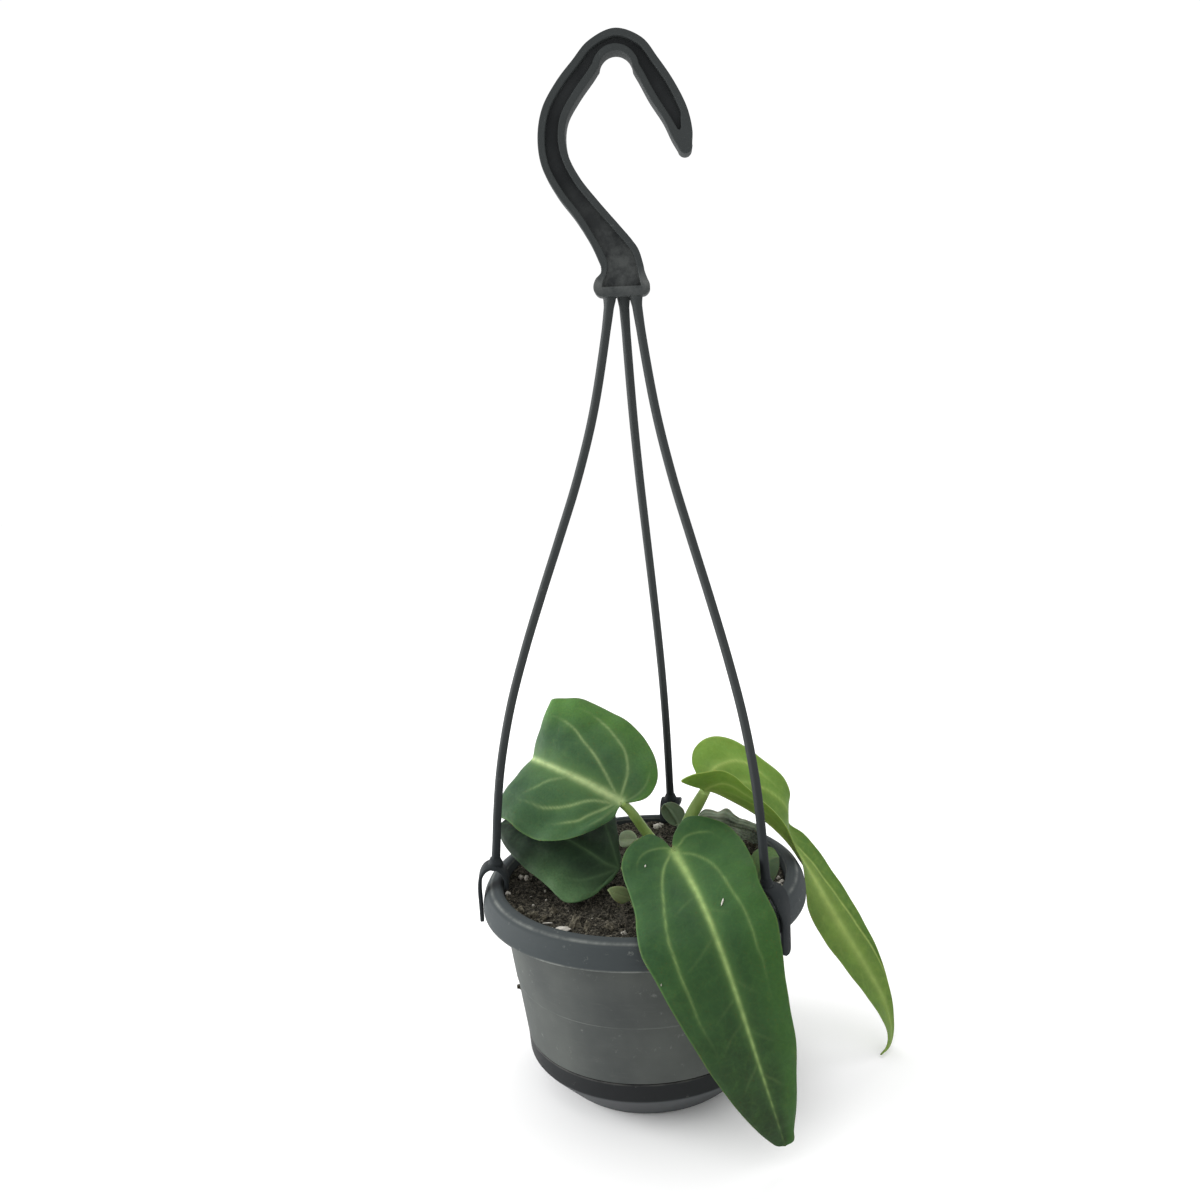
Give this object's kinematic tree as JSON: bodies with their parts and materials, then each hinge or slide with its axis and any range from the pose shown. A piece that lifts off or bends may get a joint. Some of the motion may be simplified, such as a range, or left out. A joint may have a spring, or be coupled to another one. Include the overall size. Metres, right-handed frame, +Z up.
{
  "type": "potted anthurium villenaorum",
  "caption": "Velvety-leaved aroid in a round plastic pot with a clip-on saucer and a hanger hook on long strands, shown standing.",
  "frame": {"origin": "centre of the saucer's flat foot, which stands on the surface", "axes": "+Z up along the pot's axis, -Y toward the viewer of the picture, +X to the right"},
  "size_m": [0.1622, 0.1421, 0.3846],
  "materials": {
    "pot_plastic": "satin grey",
    "saucer_plastic": "matt dark grey",
    "hanger_plastic": "satin black",
    "potting_mix": "crumbly dark soil with white grains",
    "stem": "smooth light green",
    "velvet_leaf": "velvety green with pale veins",
    "shaded_leaf": "velvety dark green",
    "young_leaf": "satin bright green",
    "dull_leaf": "matt grey-green",
    "withered_leaf": "dry grey-brown",
    "dead_twig": "rough brown"
  },
  "bodies": {
    "root": {"pot": "pot_plastic", "saucer": "saucer_plastic", "soil": "potting_mix", "hook": "hanger_plastic", "strand_left": "hanger_plastic", "strand_right": "hanger_plastic", "strand_back": "hanger_plastic", "stems": "stem", "leaf_a": "velvet_leaf", "leaf_b": "shaded_leaf", "leaf_c": "velvet_leaf", "leaf_d": "young_leaf", "leaf_e": "dull_leaf", "leaf_back": "dull_leaf", "leaf_withered": "withered_leaf", "leaf_sheath": "dull_leaf", "leaf_young": "young_leaf", "twig": "dead_twig"}
  },
  "joints": []
}
